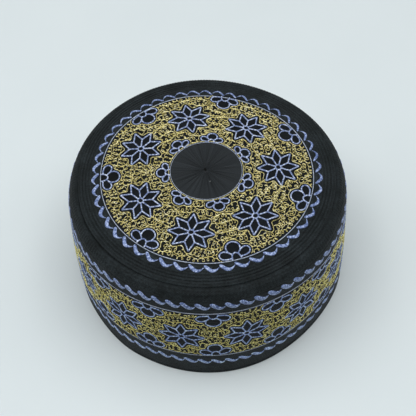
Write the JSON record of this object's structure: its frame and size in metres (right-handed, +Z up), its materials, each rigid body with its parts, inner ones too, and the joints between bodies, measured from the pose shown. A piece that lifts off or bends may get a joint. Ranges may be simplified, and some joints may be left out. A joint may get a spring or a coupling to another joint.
{
  "type": "embroidered kufi cap",
  "caption": "Stiff round brimless cap with a flat quilted crown, a slightly flared side band, star and half-flower embroidery, open below for the head.",
  "frame": {"origin": "middle of the rim's opening, on the surface that the cap stands on", "axes": "+Z up through the crown; -Y towards the front that the picture shows; +X to its right"},
  "size_m": [0.1841, 0.1852, 0.0949],
  "materials": {
    "black_cloth": "matt stitched cotton",
    "blue_thread": "satin-stitched thread with a soft shine",
    "gold_thread": "chain-stitched metallic thread"
  },
  "bodies": {
    "root": {"crown_top": "black_cloth", "side_band": "black_cloth"}
  },
  "joints": []
}
